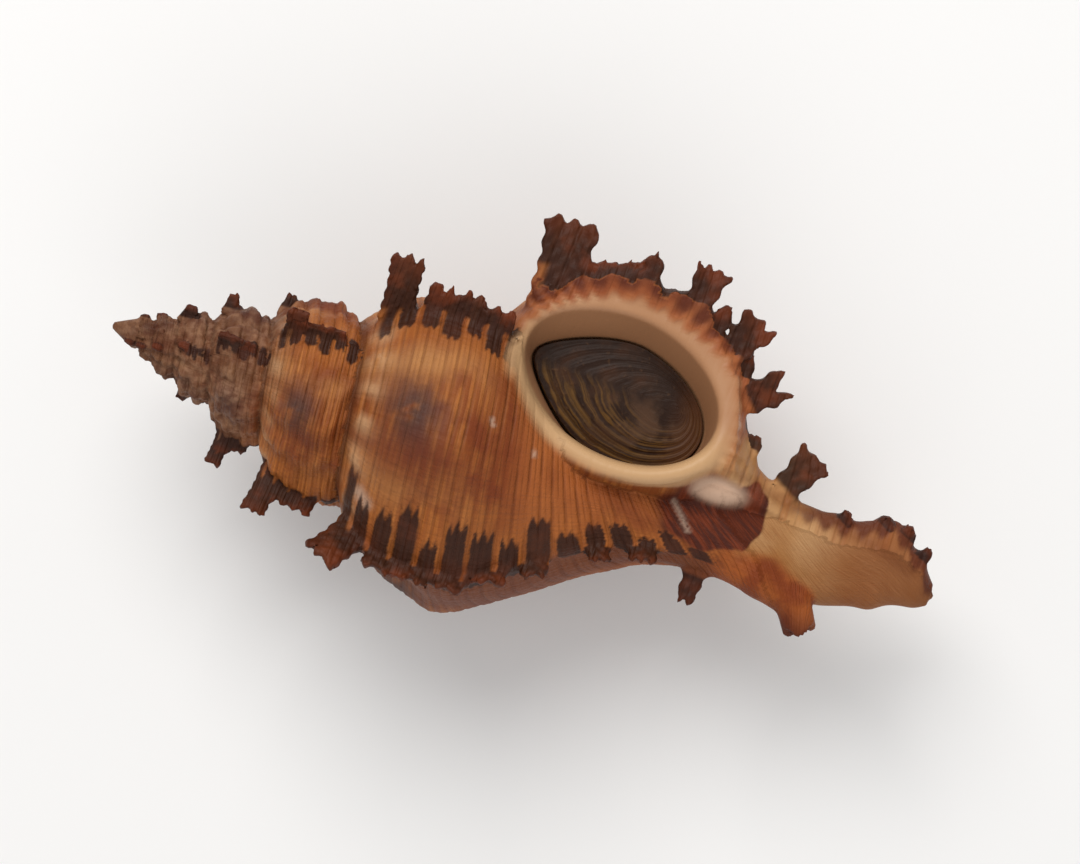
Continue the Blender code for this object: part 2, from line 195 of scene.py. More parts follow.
# Fronds of the older varices, at the size they would have at the lip, in the same order
VARIX_FRONDS = (
    (42.1, 8.4, 5.6, 5.8, -0.1, 3, 0.1), (46.6, 3.4, 5.4, 5.0, -0.1, 2, 0.3),
    (51.2, 3.6, 5.6, 5.2, 0.0, 2, 0.26), (56.0, 3.0, 5.4, 4.8, 0.1, 2, 0.34),
    (60.8, 2.9, 5.0, 4.6, 0.3, 2, 0.34), (65.8, 2.8, 4.4, 4.0, 0.4, 2, 0.3),
    (73.0, 3.2, 3.4, 3.4, 0.4, 2, 0.2), (78.6, 3.4, 4.6, 4.2, 0.3, 3, 0.2),
)
# How far the shoulder frond of a varix stands from its usual place, and its slant, from the lip back
FROND_SHIFT = (0.0, 0.0, -0.4, -1.2, 0.0, 0.6, 0.0, 0.0, 3.0, 0.0)
SHOULDER_SLANT = (-0.1, -0.1, -0.5, -0.15, -0.1, -0.1, -0.1, -0.1, -0.1, -0.1)
FROND_WEAR = (1.0, 0.68, 0.8, 1.26, 0.8, 1.12, 0.8, 0.8, 1.16, 0.7)
SPIRE_WEAR = 0.5
# Blunt spines between the varices of the spire: turn, place, length, width at the base and tip, slant
SPIRE_SPINES = (
    (-726.0, (41.0, 5.0, 5.4, 2.6, -0.1, 2, 0.15)), (-1068.0, (42.4, 7.0, 7.6, 3.6, -0.1, 2, 0.15)),
    (-1410.0, (43.0, 9.0, 15.0, 6.0, -0.1, 2, 0.1)),
)
# The next whorl covers the fronds beyond this place, and on the spire beyond the second one
HIDDEN_BEYOND = 53.0
SPIRE_FROND_LIMIT = 43.0
LOW_FROND = (-175.0, (82.5, 4.9, 3.4, 2.6, 0.0, 2, 0.2))
FROND_ROOT = 2.0
# How much of the first frond of the lip stays as pale as the lip
PALE_BASE = 0.25
FROND_THICKNESS = 1.5
FROND_LEAST_THICKNESS = 0.34
FROND_LEAST_WIDTH = 0.5
FROND_CURL = 0.1
FROND_CHANNEL = 0.3
FROND_CREASE = 0.08
FROND_BLEND = 0.9

# The dark, frilled end of the last growth beside the callus: ovals as along, across, radii
PATCH = ((65.2, 0.4, 4.4, 2.9), (69.3, 2.0, 1.8, 3.3))
PATCH_RAGGED = 0.07
# Whitish scratches and chips: start and end as along, across, and the half width
SCRATCHES = (
    (61.6, 1.2, 64.0, -1.3, 0.34), (41.0, 3.2, 41.3, 2.7, 0.3), (46.2, 1.4, 46.3, 1.1, 0.3),
    (30.2, -8.2, 31.4, -9.2, 0.8),
)
# How many degrees the dark bars reach back from a varix, and how many they fade over
BAR_REACH = 25.0
BAR_FADE = 9.0
# Degrees behind the lip: its own dark edge, and where the bars of the spire begin
LIP_ZONE = 50.0
SPIRE_ZONE = 400.0
# The pale line at the shoulder ends at this turn, and the worn tip at this distance
SHOULDER_END = -700.0
WORN_END = 20.0

# The mouth's middle along the axis, and how far from it the lip and the aperture are worked out
MOUTH_MIDDLE = 53.0
MOUTH_REACH = 16.0
CALLUS_REACH = 6.0
# Where the spout and its bore are worked out: from, to, and below which place across
SPOUT_ZONE = (58.0, 83.0, 6.0)
BORE_ZONE = (73.0, 83.0, -2.0)
# How softly parts grow into the shell, in millimetres
LIP_JOIN = 1.0
PART_JOIN = 0.8
BORE_JOIN = 0.3

# Colour spots of each whorl, counted from its last varix: turn, place, strength, spread, length
NODE_SPOT = (51.0, 46.5, 1.0, 13.0, 4.5)
RUST_SPOT = (68.0, 49.0, 1.0, 9.0, 6.0)
# Colour bands across each whorl: turn from its last varix, strength, spread
ORANGE_BANDS = ((12.0, 1.0, 8.0), (100.0, 1.0, 14.0))
PALE_BANDS = ((27.0, 1.0, 12.0), (86.0, 0.6, 11.0))

# The horny plate, with growth lines around a nucleus near its front end
PLATE_GAP = 0.3
PLATE_BOTTOM = 0.4
PLATE_EDGE = 1.4
PLATE_DOME = 0.5
PLATE_COLUMNS = 220
PLATE_RINGS = 90
NUCLEUS = (59.0, 10.6)
NUCLEUS_HEIGHT = 0.12
PLATE_LINES = 26.0
# The dusty patch on the plate: its middle and its reach, along and across
DUSTY = (56.3, 7.6)
DUSTY_REACH = (4.6, 3.0)
# Growth lines show from this share of the way out of the nucleus, and on one side of this line
STREAK_START = 0.75
STREAK_LINE = 11.5
# Half length and half width of the plate's dome
PLATE_REACH = (10.2, 6.4)

# The photo's light is dimmer than the studio light here
PAINT_SHARE = 0.82
SPECULAR = 0.2
# Noises: how many bumps to a metre, and levels of detail
FINE_NOISE = (1500.0, 4.0)
MEDIUM_NOISE = (330.0, 3.0)
BROAD_NOISE = (110.0, 2.0)
PLATE_FINE_NOISE = (1600.0, 4.0)
PLATE_MEDIUM_NOISE = (420.0, 4.0)
PLATE_BROAD_NOISE = (150.0, 3.0)
# Fine relief: strength, and depth in metres
SHELL_RELIEF = (0.55, 0.0004)
PLATE_RELIEF = (0.5, 0.00015)
SHELL_ROUGHNESS = 0.56
PLATE_ROUGHNESS = 0.5
FLOOR_ROUGHNESS = 0.9

# The studio: position, size, power and colour of each lamp, and the light from all sides
LAMP_TARGET = (0.0, 0.0, 0.015)
KEY_LAMP = ((-0.22, 0.36, 0.55), 0.5, 3.4, (1.0, 0.98, 0.95))
FILL_LAMP = ((0.25, -0.4, 0.45), 0.7, 1.0, (1.0, 0.98, 0.96))
WORLD_STRENGTH = 0.5
FLOOR_GREY = 0.86
FLOOR_SIZE = 3.0

# The photograph's view: straight down, the spire to the upper left
CAMERA_TILT = 18.5
CAMERA_LENS = 200.0
SENSOR_WIDTH = 36.0
VIEW_WIDTH = 113.4
VIEW_CENTRE = (46.08, 3.57)

# Mesh fineness
GRID_STEP = 0.34
GRID_MARGIN = 1.2
GRID_BLOCK = 24
TABLE_ALONG_STEP = 0.1
TABLE_COLUMNS = 1080
PROJECTION_ROUNDS = 3
PROBE = 0.04
SLOPE_ALLOWANCE = 0.85


shell_low, shell_high = (Vector(corner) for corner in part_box("shell"))
plate_low, plate_high = (Vector(corner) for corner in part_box("operculum"))
AXIS_START = np.array([
    shell_low.x / MM,
    (plate_low.y + plate_high.y) / 2.0 / MM - PLATE_ACROSS,
    plate_high.z / MM - PLATE_TOP,
])
FLOOR_HEIGHT = shell_low.z / MM - AXIS_START[2]


def smooth_step(value):
    value = np.clip(value, 0.0, 1.0)
    return value * value * (3.0 - 2.0 * value)


# From 0 to 1 over a length that begins at a place
def rise(value, start, length):
    return smooth_step((value - start) / length)


# From 1 to 0 over a length that stops at a place
def fall(value, end, length):
    return smooth_step((end - value) / length)


def smooth_min(first, second, radius):
    share = np.clip(0.5 + 0.5 * (second - first) / radius, 0.0, 1.0)
    return second + (first - second) * share - radius * share * (1.0 - share)


def smooth_max(first, second, radius):
    return -smooth_min(-first, -second, radius)


def bell(distance, spread):
    return np.exp(-((distance / spread) ** 2))


# A table read as a rounded curve instead of straight runs
class Curve:
    def __init__(self, rows, column, rounding=CURVE_ROUNDING):
        fine = 0.05
        places = [row[0] for row in rows]
        self.at = np.arange(places[0] - 3.0, places[-1] + 3.0, fine)
        straight = np.interp(self.at, places, [row[column] for row in rows])
        window = np.hanning(int(rounding / fine) * 2 + 1)
        padded = np.pad(straight, len(window) // 2, mode="edge")
        self.values = np.convolve(padded, window / window.sum(), mode="valid")

    def __call__(self, at):
        return np.interp(at, self.at, self.values)


whorl_profile = Curve(WHORL_PROFILE, 1)
front_width = Curve(FRONT_OUTLINE, 1)
front_thickness = Curve(FRONT_OUTLINE, 2)
canal_across = Curve(CANAL_SHIFT, 1)
canal_height = Curve(CANAL_SHIFT, 2)
inner_lip = Curve(INNER_LIP, 1)
slit_across = Curve(SLIT_PATH, 1)
slit_floor = Curve(SLIT_PATH, 2)


def growth(turn):
    return WHORL_EXPANSION ** (turn / 360.0)


VARIX_TURNS = LIP_ANGLE - VARIX_STEP * np.arange(VARIX_COUNT)
NODE_TURNS = np.concatenate([[LAST_NODE], VARIX_TURNS[1:] - VARIX_STEP / 2.0])


# Signed turn from the nearest varix: negative on its older side
def from_varix(turn):
    nearest = np.round((LIP_ANGLE - turn) / VARIX_STEP)
    return turn - (LIP_ANGLE - VARIX_STEP * nearest)


def varix_ridge(turn):
    gap = from_varix(turn)
    return np.where(gap < 0.0, bell(gap, VARIX_RISE), bell(gap, VARIX_FALL))


def node_ridge(turn, own_place):
    height = np.zeros_like(turn)
    for node in NODE_TURNS:
        height = np.maximum(height, bell(turn - node, NODE_SPREAD))
    return height * bell(own_place - NODE_PLACE, NODE_LENGTH)


# A rounded lump on a whorl
def lump(values, turn, own_place):
    at_turn, at_place, height, spread, length = values
    return height * bell(turn - at_turn, spread) * bell(own_place - at_place, length)


# Two crossed waves that never line up
def waves(first, second):
    mixed = np.sin(first * 1.3 + 0.7 * np.sin(second * 0.9))
    mixed = mixed + np.sin(second * 1.7 + 1.1 * np.sin(first * 0.6 + 2.0))
    return 0.5 * mixed


def scale_waves(own_place):
    return 0.5 - 0.5 * np.cos(2.0 * math.pi * own_place / SCALE_PITCH)


# Waves along a whorl whose spacing drifts
def turn_waves(turn, step, drift, share=1.0):
    return np.sin(2.0 * math.pi * turn / step + share * np.sin(turn / drift))


def suture_lumps(turn):
    return turn_waves(turn, SUTURE_LUMP_STEP, SUTURE_LUMP_DRIFT)


def cord_pitch(turn):
    return CORD_PITCH * (1.0 + (turn < CORD_CHANGES[0])) * (1.0 + (turn < CORD_CHANGES[1]))


# Radius of one whorl with its cords, varices, nodes and scales
def whorl_radius(along, turn):
    size = growth(turn)
    own_place = along / size
    radius = size * whorl_profile(own_place)
    fullness = SPIRE_FULLNESS * np.maximum(1.0 - size, 0.0) ** SPIRE_FULLNESS_POWER
    varix = varix_ridge(turn)
    ridges = fullness + VARIX_HEIGHT * varix + NODE_HEIGHT * node_ridge(turn, own_place)
    ridges = ridges + lump(REST_KNOB, turn, own_place) - lump(SHOULDER_DIP, turn, own_place)
    pitch = cord_pitch(turn)
    wide = pitch / CORD_PITCH
    cord_gap = np.abs(own_place / pitch - np.round(own_place / pitch)) * pitch
    thread_gap = np.abs(own_place / pitch % 1.0 - 0.5) * pitch
    shown = rise(own_place, *CORDS_IN) * fall(own_place, *CORDS_OUT)
    relief = -CORD_DEPTH * bell(cord_gap, CORD_GROOVE * wide)
    relief = relief * wide - THREAD_DEPTH * bell(thread_gap, CORD_GROOVE * 0.7)
    on_spire = fall(size, RIBLET_START, RIBLET_BLEND)
    relief = relief * (1.0 + SPIRE_CORD_SHARE * on_spire)
    suture = -SUTURE_DEPTH * bell(own_place - SUTURE_PLACE, SUTURE_WIDTH)
    scales = (scale_waves(own_place) - SCALE_LOW) * bell(from_varix(turn) + SCALE_SHIFT, SCALE_SPREAD)
    scales = SCALE_HEIGHT * scales * fall(own_place, *SCALES_OUT)
    wobble = WOBBLE * waves(own_place * 0.55, turn / 9.0)
    lumps = np.maximum(suture_lumps(turn), 0.0)
    wobble = wobble + SUTURE_LUMP * lumps * bell(own_place - SUTURE_LUMP_PLACE, SUTURE_LUMP_LENGTH)
    riblets = turn_waves(turn, RIBLET_STEP, RIBLET_DRIFT, 0.6) * bell(own_place - RIBLET_PLACE, RIBLET_LENGTH)
    knobs = KNOB_HEIGHT * waves(along * 2.3, turn / 7.0) * rise(along, 2.0, 3.0)
    wobble = wobble + (RIBLET_HEIGHT * riblets + knobs) * on_spire / size
    ridges = ridges + lump(SEEN_NODE, from_varix(turn) % VARIX_STEP, own_place)
    return radius * (1.0 + ridges) + size * (shown * (relief + scales) + suture + wobble) * (radius > 1.0)


def ellipse_radius(half_width, half_thickness, angle):
    return 1.0 / np.hypot(np.cos(angle) / half_width, np.sin(angle) / half_thickness)


def face_height(across):
    angle = math.radians(FACE_ANGLE)
    return (FACE_DISTANCE - across * math.cos(angle)) / math.sin(angle)


# Radius of the whole body, and the turn of the whorl that shows there
def body_table():
    along = np.arange(-GRID_MARGIN - 1.0, LENGTH + GRID_MARGIN + 1.0, TABLE_ALONG_STEP)[:, None]
    degrees = (np.arange(TABLE_COLUMNS) * 360.0 / TABLE_COLUMNS)[None, :]
    degrees = np.where(degrees > 180.0 + LIP_ANGLE, degrees - 360.0, degrees)
    angle = np.radians(degrees)
    last_turn = np.where(degrees <= LIP_ANGLE, degrees, degrees - 360.0)
    shape = np.broadcast_shapes(along.shape, degrees.shape)
    inside = np.maximum(along, 0.0) + np.zeros(shape)
    radius = np.where(inside < TIP_END, TIP_RADIUS + TIP_SLOPE * inside, 0.0)
    turn = last_turn - 360.0 * (WHORLS - 1) + np.zeros(shape)
    for whorl in range(WHORLS):
        this_turn = last_turn - 360.0 * whorl + np.zeros(shape)
        this_radius = whorl_radius(inside, this_turn)
        turn = np.where(this_radius > radius, this_turn, turn)
        radius = np.maximum(radius, this_radius)
    in_face = (degrees > LIP_ANGLE) & (degrees < 2.0 * FACE_ANGLE)
    face = FACE_DISTANCE / np.maximum(np.cos(angle - math.radians(FACE_ANGLE)), 0.05)
    lip = np.minimum(whorl_radius(inside, degrees + np.zeros(shape)), face)
    lip_across = inner_lip(inside)
    lip_angle = np.degrees(np.arctan2(face_height(lip_across), lip_across))
    share = smooth_step((lip_angle - degrees) / INNER_LIP_BLEND + 0.5) * in_face
    with_lip = np.maximum(radius, radius + (lip - radius) * share)
    turn = np.where(with_lip > radius + 0.2, LIP_ANGLE, turn)
    radius = with_lip
    canal = ellipse_radius(CANAL_HALF_WIDTH, CANAL_HALF_THICKNESS, angle)
    radius = np.where(inside > CANAL_START, np.maximum(radius, canal), radius)
    outline = ellipse_radius(front_width(inside), front_thickness(inside), angle)
    radius = np.where(inside > CANAL_START - 1.5, np.minimum(radius, outline), radius)
    radius = np.where(along < 0.0, along, radius)
    radius = np.where(along > LENGTH, 0.5 - (along - LENGTH), radius)
    return along[:, 0], radius, turn


TABLE_ALONG, TABLE_RADIUS, TABLE_TURN = body_table()


def table_places(along, angle):
    row = (along - TABLE_ALONG[0]) / TABLE_ALONG_STEP
    row = np.clip(row, 0.0, len(TABLE_ALONG) - 1.001)
    column = (angle % (2.0 * math.pi)) / (2.0 * math.pi) * TABLE_COLUMNS
    return row, column


def body_radius(along, angle):
    row, column = table_places(along, angle)
    low_row = row.astype(int)
    low_column = column.astype(int) % TABLE_COLUMNS
    high_column = (low_column + 1) % TABLE_COLUMNS
    row_share = row - low_row
    column_share = column - np.floor(column)
    low = TABLE_RADIUS[low_row, low_column] * (1.0 - column_share)
    low += TABLE_RADIUS[low_row, high_column] * column_share
    high = TABLE_RADIUS[low_row + 1, low_column] * (1.0 - column_share)
    high += TABLE_RADIUS[low_row + 1, high_column] * column_share
    return low * (1.0 - row_share) + high * row_share


def lean_at(along):
    return LEAN * rise(along, 10.0, 16.0) * fall(along, 72.0, 10.0)


# From a point to the place along the axis, the angle around it and the distance from it
def coil_places(points):
    along = points[:, 0]
    for _ in range(2):
        along = points[:, 0] - lean_at(along) * points[:, 1]
    across = points[:, 1] - canal_across(along)
    height = points[:, 2] - canal_height(along)
    return along, np.arctan2(height, across), np.hypot(across, height)


# The aperture is narrower at its spire end, and more so inside
def leaf_share(lengthwise, height):
    pointed = LEAF * fall(height, LEAF_TOP, 6.0)
    return 1.0 - pointed * np.clip(-lengthwise, 0.0, 1.0) ** 1.5


# Centre along, centre across, half length and half width of the aperture at a height
def aperture_at(height):
    heights = [entry[0] for entry in APERTURE]
    return (np.interp(height, heights, [entry[column] for entry in APERTURE]) for column in (1, 2, 3, 4))


# Position around the aperture: how far out of the ellipse, in millimetres, and the direction
def aperture_places(points, row=None):
    at = points[:, 2] if row is None else np.full(len(points), APERTURE[row][0])
    centre_along, centre_across, half_length, half_width = aperture_at(at)
    tilt = math.radians(APERTURE_TILT)
    first = points[:, 0] - centre_along
    second = points[:, 1] - centre_across
    lengthwise = first * math.cos(tilt) + second * math.sin(tilt)
    crosswise = second * math.cos(tilt) - first * math.sin(tilt)
    half_width = half_width * leaf_share(lengthwise / half_length, at)
    ratio = np.hypot(lengthwise / half_length, crosswise / half_width)
    steepness = np.hypot(lengthwise * half_width / half_length, crosswise * half_length / half_width)
    outward = (ratio - 1.0) * half_width * half_length
    outward /= np.maximum(steepness, 0.5) / np.maximum(ratio, 0.2)
    return outward, np.arctan2(crosswise / half_width, lengthwise / half_length)


# How much a direction around the aperture faces the inner lip
def inner_side(direction):
    return smooth_step(0.5 - 1.4 * np.sin(direction))


def aperture_field(points):
    outward, _ = aperture_places(points)
    return np.maximum(outward, APERTURE_FLOOR - points[:, 2])


def lip_band_field(points):
    outward, direction = aperture_places(points, MOUTH_ROW)
    low_side = inner_side(direction)
    radius = LIP_BAND_RADIUS * low_side
    above_face = points[:, 2] - face_height(points[:, 1]) + LIP_BAND_SINK
    return np.hypot(outward - LIP_BAND_OFFSET, above_face) - radius + 0.6 * (1.0 - low_side)


def flute_waves(direction):
    return np.sin(FLUTE_COUNT * direction + FLUTE_DRIFT * np.sin(5.0 * direction))


# Shallow grooves that run out from the aperture over the face of the outer lip
def lip_flutes(points):
    outward, direction = aperture_places(points, MOUTH_ROW)
    outer_side = smooth_step(np.sin(direction) * 2.0 + np.cos(direction) + 0.6)
    return FLUTE_DEPTH * rise(outward, 1.6, 1.0) * outer_side * (0.5 + 0.5 * flute_waves(direction))


def ellipsoid_field(points, centre, radii):
    scaled = (points - np.array(centre)) / np.array(radii)
    return (np.linalg.norm(scaled, axis=1) - 1.0) * min(radii)


def tube_field(points, path):
    nearest = np.full(len(points), 1e3)
    for start, end in zip(path, path[1:]):
        first = np.array(start[:3])
        step = np.array(end[:3]) - first
        share = np.clip((points - first) @ step / (step @ step), 0.0, 1.0)
        gap = np.linalg.norm(points - first - share[:, None] * step, axis=1)
        nearest = smooth_min(nearest, gap - (start[3] + (end[3] - start[3]) * share), 0.4)
    return nearest


# The spout's tip and the direction that it points in
def spout_end():
    tip = np.array(SPOUT_PATH[-1][:3])
    direction = tip - np.array(SPOUT_PATH[-2][:3])
    return tip, direction / np.linalg.norm(direction)


def spout_field(points):
    tip, direction = spout_end()
    beyond = (points - tip) @ direction
    jagged = 0.35 * np.sin(points[:, 0] * 2.3) + 0.3 * np.sin(points[:, 2] * 2.9 + 1.0)
    return smooth_max(tube_field(points, SPOUT_PATH), beyond - 0.2 + jagged, 0.3)


def spout_bore_field(points):
    tip, direction = spout_end()
    start = tip - direction * SPOUT_BORE_DEPTH
    end = tip + direction * 2.0
    return tube_field(points, ((*start, SPOUT_BORE * 0.4), (*end, SPOUT_BORE * 1.5)))


# A curved plate, grown out of a varix, with a channel on its front and lobes at its tip
class Frond:
    def __init__(self, turn, values, wear, seed, dark_from=0.0):
        own_place, length, base_width, tip_width, slant, lobes, notch = values
        self.size = growth(turn)
        self.seed = seed
        self.dark_from = dark_from
        self.lobes = lobes
        self.notch = notch
        self.length = length * self.size * wear * math.hypot(1.0, slant)
        self.base_half = base_width * self.size / 2.0
        self.tip_half = tip_width * self.size / 2.0
        along = own_place * self.size
        angle = math.radians(turn)
        radial = np.array([0.0, math.cos(angle), math.sin(angle)])
        surface = float(body_radius(np.array([along]), np.array([angle]))[0])
        centre = np.array([along, 0.0, 0.0]) + radial * surface
        centre[1] += canal_across(along)
        centre[2] += canal_height(along)
        centre[0] += lean_at(np.array(along)) * centre[1]
        lean = float(lean_at(np.array(along)) * radial[1])
        out = radial + np.array([slant + lean, 0.0, 0.0])
        self.out = out / np.linalg.norm(out)
        side = np.array([1.0, 0.0, 0.0]) - self.out * self.out[0]
        self.side = side / np.linalg.norm(side)
        self.ahead = np.array([0.0, -math.sin(angle), math.cos(angle)])
        self.base = centre
        self.root = FROND_ROOT * self.size
        self.reach = self.length + self.root + 2.0 * max(self.base_half, self.tip_half) + 1.5

    def places(self, points):
        offset = points - self.base
        up = offset @ self.out
        side = offset @ self.side
        share = up / self.length
        bend = FROND_CURL * self.length * np.clip(share, 0.0, 1.5) ** 2
        return up, side, offset @ self.ahead + bend, share

    def field(self, points):
        up, side, ahead, share = self.places(points)
        inner = np.clip(share, 0.0, 1.0)
        half = self.base_half + (self.tip_half - self.base_half) * inner
        half = half * (1.0 - 0.12 * np.sin(math.pi * inner))
        half += 0.14 * self.size * np.sin(up * 3.1 / self.size + self.seed + np.sign(side))
        half = np.maximum(half, FROND_LEAST_WIDTH)
        across = np.clip(side / half, -1.2, 1.2)
        channel = FROND_CHANNEL * half * inner ** 0.5
        middle = -channel * (1.0 - across * across)
        middle += FROND_CREASE * self.size * np.cos(across * 9.0 + self.seed) * inner
        lumpy = np.sin(side * 4.3 / self.size + self.seed) * np.sin(up * 3.7 / self.size + 2.0 * self.seed)
        thickness = 0.5 * FROND_THICKNESS * self.size * (1.0 - 0.35 * inner + 0.15 * lumpy)
        thickness = np.maximum(thickness, FROND_LEAST_THICKNESS)
        lobe = math.pi * self.lobes * (across + 1.0) + 0.8 * np.sin(3.0 * across + self.seed)
        top = self.length * (1.0 - self.notch * (0.5 + 0.5 * np.cos(lobe)))
        top += 0.16 * self.size * np.sin(across * 10.0 + 2.0 * self.seed)
        plate = smooth_max(np.abs(ahead - middle) - thickness, np.abs(side) - half, 0.4 * self.size)
        plate = smooth_max(plate, up - top, 0.25 * self.size)
        return np.maximum(plate, -up - self.root)


def all_fronds():
    made = []
    for index, values in enumerate(LIP_FRONDS):
        made.append(Frond(LIP_ANGLE - 2.0, values, 1.0, float(index), PALE_BASE if index == 0 else 0.0))
    for index, own_place in enumerate(LIP_TEETH):
        wear = 1.0 + 0.3 * math.sin(5.0 * index)
        made.append(Frond(LIP_ANGLE - 3.0, (own_place, *TOOTH), wear, 0.7 * index))
    made.extend(Frond(LIP_ANGLE, (place, *CANAL_TOOTH), 1.0, 2.0 * place) for place in CANAL_TEETH)
    made.append(Frond(*LOW_FROND, 1.0, 0.5))
    made.extend(Frond(turn, values, 1.0, 0.01 * turn) for turn, values in SPIRE_SPINES)
    for varix in range(1, VARIX_COUNT):
        turn = LIP_ANGLE - VARIX_STEP * varix
        on_spire = varix >= len(FROND_WEAR)
        wear = SPIRE_WEAR if on_spire else FROND_WEAR[varix]
        hidden = HIDDEN_BEYOND if turn <= LIP_ANGLE - 360.0 else LENGTH
        limit = SPIRE_FROND_LIMIT if on_spire else hidden
        for index, (own_place, length, base_width, tip_width, slant, *lobes) in enumerate(VARIX_FRONDS):
            if own_place > limit:
                continue
            if index == 0 and not on_spire:
                own_place += FROND_SHIFT[varix]
                slant = SHOULDER_SLANT[varix]
            values = (own_place, length, base_width, tip_width, slant, *lobes)
            made.append(Frond(turn, values, wear, varix + 1.7 * index))
    return made


FRONDS = all_fronds()


# The groove where the two edges of the canal meet. Its share also darkens the colour there, as painted shade
# in the crease
def slit_share(points):
    along, across, height = points.T
    share = bell(across - slit_across(along), SLIT_HALF_WIDTH)
    share = share * rise(along, 65.0, 3.0) * fall(along, 89.0, 2.0)
    return share * smooth_step((height - slit_floor(along) + 0.3) / 0.6)


def in_zone(points, zone):
    start, end, across = zone
    return (points[:, 0] > start) & (points[:, 0] < end) & (points[:, 1] < across)


# Negative inside the shell, positive outside, about in millimetres
def shell_field(points):
    z = points[:, 2]
    along, angle, distance = coil_places(points)
    field = (distance - body_radius(along, angle)) * SLOPE_ALLOWANCE
    by_mouth = np.abs(points[:, 0] - MOUTH_MIDDLE) < MOUTH_REACH
    near = by_mouth & (z > 2.0) & (z < 12.0)
    field[near] += lip_flutes(points[near]) * rise(z[near], 4.0, 2.0)
    field[near] = smooth_min(field[near], lip_band_field(points[near]), LIP_JOIN)
    near = np.linalg.norm(points - np.array(CALLUS_CENTRE), axis=1) < CALLUS_REACH
    callus = ellipsoid_field(points[near], CALLUS_CENTRE, CALLUS_RADII)
    field[near] = smooth_min(field[near], callus, PART_JOIN)
    near = in_zone(points, SPOUT_ZONE)
    field[near] = smooth_min(field[near], spout_field(points[near]), PART_JOIN)
    for frond in FRONDS:
        near = np.all(np.abs(points - frond.base) < frond.reach, axis=1)
        if near.any():
            grown = frond.field(points[near])
            field[near] = smooth_min(field[near], grown, max(FROND_BLEND * frond.size, 0.4))
    near = by_mouth & (z > APERTURE_FLOOR - 1.5)
    field[near] = smooth_max(field[near], -aperture_field(points[near]), APERTURE_ROUNDING)
    field = field + SLIT_DEPTH * slit_share(points)
    near = in_zone(points, BORE_ZONE)
    field[near] = smooth_max(field[near], -spout_bore_field(points[near]), BORE_JOIN)
    return np.maximum(field, FLOOR_HEIGHT - z)


def grid_axes():
    low = np.array(shell_low) / MM - AXIS_START - GRID_MARGIN
    high = np.array(shell_high) / MM - AXIS_START + GRID_MARGIN
    return [np.arange(start, end, GRID_STEP) for start, end in zip(low, high)]


def grid_field(axes):
    slabs = []
    second, third = np.meshgrid(axes[1], axes[2], indexing="ij")
    for start in range(0, len(axes[0]), GRID_BLOCK):
        firsts = axes[0][start:start + GRID_BLOCK]
        shape = (len(firsts), *second.shape)
        points = np.empty((*shape, 3))
        points[..., 0] = firsts[:, None, None]
        points[..., 1] = second
        points[..., 2] = third
        slabs.append(shell_field(points.reshape(-1, 3)).reshape(shape))
    return np.concatenate(slabs)


# Surface through the cells where the field changes sign: one vertex per cell, one quad per grid edge
def surface_net(axes, field):
    inside = field < 0.0
    corners = [(i, j, k) for i in (0, 1) for j in (0, 1) for k in (0, 1)]
    cells = tuple(length - 1 for length in field.shape)

    def shifted(values, corner):
        return values[tuple(slice(step, step + length) for step, length in zip(corner, cells))]

    count = sum(shifted(inside, corner).astype(np.int8) for corner in corners)
    active = (count > 0) & (count < 8)
    place = np.argwhere(active)
    number = np.full(cells, -1, dtype=np.int64)
    number[active] = np.arange(len(place))
    total = np.zeros((len(place), 3))
    weight = np.zeros(len(place))
    for first in corners:
        for axis in range(3):
            if first[axis] == 1:
                continue
            second = list(first)
            second[axis] = 1
            low = field[tuple((place + first).T)]
            high = field[tuple((place + second).T)]
            crossing = (low < 0.0) != (high < 0.0)
            share = np.where(crossing, low / np.where(crossing, low - high, 1.0), 0.0)
            point = place + np.array(first, dtype=float)
            point[:, axis] += share
            total += point * crossing[:, None]
            weight += crossing
    vertices = total / weight[:, None]
    origin = np.array([axis[0] for axis in axes])
    vertices = origin + vertices * GRID_STEP
    quads = []
    for axis in range(3):
        other = [index for index in range(3) if index != axis]
        edges = np.argwhere(np.diff(inside, axis=axis))
        edges = edges[np.all((edges[:, other] > 0) & (edges[:, other] < np.array(cells)[other]), axis=1)]
        around = []
        for offset in ((-1, -1), (0, -1), (0, 0), (-1, 0)):
            cell = edges.copy()
            cell[:, other] += offset
            around.append(number[tuple(cell.T)])
        quad = np.stack(around, axis=1)
        flip = inside[tuple(edges.T)] == (axis == 1)
        quad[flip] = quad[flip][:, ::-1]
        quads.append(quad)
    return vertices, np.concatenate(quads)


# Keeps the largest connected piece
def main_piece(vertices, quads):
    label = np.arange(len(vertices))
    while True:
        lowest = label[quads].min(axis=1)
        before = label.copy()
        for corner in range(4):
            np.minimum.at(label, quads[:, corner], lowest)
        label = label[label]
        if np.array_equal(before, label):
            break
    names, counts = np.unique(label, return_counts=True)
    kept = label == names[np.argmax(counts)]
    renumber = np.cumsum(kept) - 1
    return vertices[kept], renumber[quads[kept[quads[:, 0]]]]


def field_slope(points):
    slope = np.empty_like(points)
    for axis in range(3):
        step = np.zeros(3)
        step[axis] = PROBE
        slope[:, axis] = (shell_field(points + step) - shell_field(points - step)) / (2.0 * PROBE)
    return slope


def onto_surface(points):
    for _ in range(PROJECTION_ROUNDS):
        value = shell_field(points)
        slope = field_slope(points)
        steep = np.maximum(np.sum(slope * slope, axis=1), 0.2)
        move = -(value / steep)[:, None] * slope
        length = np.linalg.norm(move, axis=1, keepdims=True)
        move *= np.minimum(1.0, 0.5 * GRID_STEP / np.maximum(length, 1e-9))
        points = points + 0.7 * move
    points[:, 2] = np.maximum(points[:, 2], FLOOR_HEIGHT)
    return points


